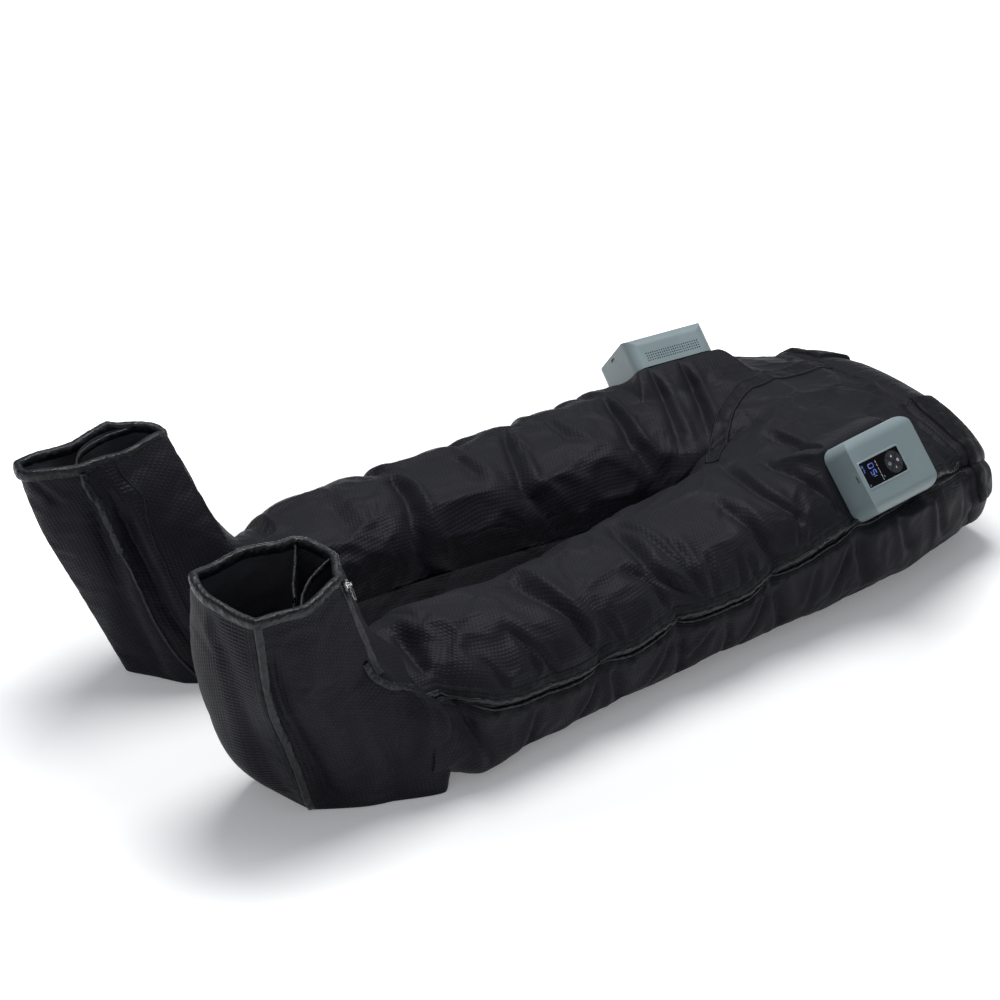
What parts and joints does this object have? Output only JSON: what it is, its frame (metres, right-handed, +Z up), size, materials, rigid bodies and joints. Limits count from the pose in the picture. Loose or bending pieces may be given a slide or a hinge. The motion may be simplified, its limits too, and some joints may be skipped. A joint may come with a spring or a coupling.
{
  "type": "air compression massage pants",
  "caption": "Air compression massage pants lying on their back: chambered legs with foot sleeves, outer zips, waist band and a clip-on pump unit with buttons on each hip.",
  "frame": {"origin": "on the floor, in the middle of the box around the garment as it lies", "axes": "+X from the feet to the waist, +Y to the wearer's right leg, +Z up from the floor through the front of the garment"},
  "size_m": [1.1567, 0.5558, 0.3065],
  "materials": {
    "shell_fabric": "coated nylon ripstop, satin",
    "binding_tape": "woven tape, slight sheen",
    "hose": "translucent silicone hose",
    "dock": "moulded, matt",
    "nickel": "nickel plated zinc",
    "casing": "satin painted ABS",
    "lens": "black printed acrylic window",
    "button": "matt silicone key",
    "board": "solder mask",
    "battery": "shrink wrap",
    "pump": "cast",
    "shaft_steel": "turned",
    "valve_plastic": "moulded",
    "screw_steel": "zinc plated"
  },
  "bodies": {
    "garment": {"left_boot": "shell_fabric", "left_ankle_chamber": "shell_fabric", "left_calf_chamber": "shell_fabric", "left_knee_chamber": "shell_fabric", "left_thigh_chamber": "shell_fabric", "left_upper_thigh_chamber": "shell_fabric", "left_lower_hip_chamber": "shell_fabric", "left_upper_hip_chamber": "shell_fabric", "left_toe_binding": "binding_tape", "left_zip": "binding_tape", "left_air_hoses": "hose", "left_dock_plate": "dock", "right_boot": "shell_fabric", "right_ankle_chamber": "shell_fabric", "right_calf_chamber": "shell_fabric", "right_knee_chamber": "shell_fabric", "right_thigh_chamber": "shell_fabric", "right_upper_thigh_chamber": "shell_fabric", "right_lower_hip_chamber": "shell_fabric", "right_upper_hip_chamber": "shell_fabric", "right_toe_binding": "binding_tape", "right_zip": "binding_tape", "right_air_hoses": "hose", "right_dock_plate": "dock", "waistband": "shell_fabric", "waist_belt": "binding_tape", "front_placket": "binding_tape"},
    "left_control_unit": {"left_casing_top": "casing", "left_casing_base": "casing", "left_display_lens": "lens", "left_circuit_board": "board", "left_battery_pack": "battery", "left_pump_body": "pump", "left_distributor_body": "valve_plastic", "left_case_screws": "screw_steel"},
    "left_button_up": {"left_button_up": "button"},
    "left_button_down": {"left_button_down": "button"},
    "left_button_left": {"left_button_left": "button"},
    "left_button_right": {"left_button_right": "button"},
    "left_pump_rotor": {"left_pump_rotor": "shaft_steel"},
    "left_distributor_rotor": {"left_distributor_rotor": "shaft_steel"},
    "left_zip_slider": {"left_zip_slider": "nickel"},
    "left_zip_pull": {"left_zip_pull": "nickel"},
    "right_control_unit": {"right_casing_top": "casing", "right_casing_base": "casing", "right_display_lens": "lens", "right_circuit_board": "board", "right_battery_pack": "battery", "right_pump_body": "pump", "right_distributor_body": "valve_plastic", "right_case_screws": "screw_steel"},
    "right_button_up": {"right_button_up": "button"},
    "right_button_down": {"right_button_down": "button"},
    "right_button_left": {"right_button_left": "button"},
    "right_button_right": {"right_button_right": "button"},
    "right_pump_rotor": {"right_pump_rotor": "shaft_steel"},
    "right_distributor_rotor": {"right_distributor_rotor": "shaft_steel"},
    "right_zip_slider": {"right_zip_slider": "nickel"},
    "right_zip_pull": {"right_zip_pull": "nickel"}
  },
  "joints": [
    {"name": "left_unit_lift_off", "type": "slide", "parent": "garment", "child": "left_control_unit", "axis": [0.0934, -0.7603, 0.6428], "range_m": [0, 0.03]},
    {"name": "left_button_up_press", "type": "slide", "parent": "left_control_unit", "child": "left_button_up", "axis": [-0.0934, 0.7603, -0.6428], "range_m": [0, 0.0008], "stiffness_N_per_m": 600, "springref_m": -0.0005},
    {"name": "left_button_down_press", "type": "slide", "parent": "left_control_unit", "child": "left_button_down", "axis": [-0.0934, 0.7603, -0.6428], "range_m": [0, 0.0008], "stiffness_N_per_m": 600, "springref_m": -0.0005},
    {"name": "left_button_left_press", "type": "slide", "parent": "left_control_unit", "child": "left_button_left", "axis": [-0.0934, 0.7603, -0.6428], "range_m": [0, 0.0008], "stiffness_N_per_m": 600, "springref_m": -0.0005},
    {"name": "left_button_right_press", "type": "slide", "parent": "left_control_unit", "child": "left_button_right", "axis": [-0.0934, 0.7603, -0.6428], "range_m": [0, 0.0008], "stiffness_N_per_m": 600, "springref_m": -0.0005},
    {"name": "left_pump_spin", "type": "hinge", "parent": "left_control_unit", "child": "left_pump_rotor", "pos_m": [0.34303, -0.23595, 0.16006], "axis": [0.9925, 0.1219, 0], "continuous": true},
    {"name": "left_distributor_spin", "type": "hinge", "parent": "left_control_unit", "child": "left_distributor_rotor", "pos_m": [0.38945, -0.22022, 0.15171], "axis": [0.0934, -0.7603, 0.6428], "continuous": true},
    {"name": "left_zip_run", "type": "slide", "parent": "garment", "child": "left_zip_slider", "axis": [-0.2812, 0.1344, 0.9502], "range_m": [-0.115, 0]},
    {"name": "left_pull_swing", "type": "hinge", "parent": "left_zip_slider", "child": "left_zip_pull", "pos_m": [-0.44525, -0.21934, 0.29618], "axis": [-0.7706, -0.6217, -0.1401], "range_deg": [0, 150]},
    {"name": "right_unit_lift_off", "type": "slide", "parent": "garment", "child": "right_control_unit", "axis": [0.0934, 0.7603, 0.6428], "range_m": [0, 0.03]},
    {"name": "right_button_up_press", "type": "slide", "parent": "right_control_unit", "child": "right_button_up", "axis": [-0.0934, -0.7603, -0.6428], "range_m": [0, 0.0008], "stiffness_N_per_m": 600, "springref_m": -0.0005},
    {"name": "right_button_down_press", "type": "slide", "parent": "right_control_unit", "child": "right_button_down", "axis": [-0.0934, -0.7603, -0.6428], "range_m": [0, 0.0008], "stiffness_N_per_m": 600, "springref_m": -0.0005},
    {"name": "right_button_left_press", "type": "slide", "parent": "right_control_unit", "child": "right_button_left", "axis": [-0.0934, -0.7603, -0.6428], "range_m": [0, 0.0008], "stiffness_N_per_m": 600, "springref_m": -0.0005},
    {"name": "right_button_right_press", "type": "slide", "parent": "right_control_unit", "child": "right_button_right", "axis": [-0.0934, -0.7603, -0.6428], "range_m": [0, 0.0008], "stiffness_N_per_m": 600, "springref_m": -0.0005},
    {"name": "right_pump_spin", "type": "hinge", "parent": "right_control_unit", "child": "right_pump_rotor", "pos_m": [0.31498, 0.19215, 0.15759], "axis": [0.9925, -0.1219, 0], "continuous": true},
    {"name": "right_distributor_spin", "type": "hinge", "parent": "right_control_unit", "child": "right_distributor_rotor", "pos_m": [0.3614, 0.17641, 0.14924], "axis": [0.0934, 0.7603, 0.6428], "continuous": true},
    {"name": "right_zip_run", "type": "slide", "parent": "garment", "child": "right_zip_slider", "axis": [-0.278, 0.106, 0.9547], "range_m": [-0.115, 0]},
    {"name": "right_pull_swing", "type": "hinge", "parent": "right_zip_slider", "child": "right_zip_pull", "pos_m": [-0.44998, 0.27479, 0.29428], "axis": [0.8766, -0.3784, 0.2973], "range_deg": [0, 150]}
  ]
}
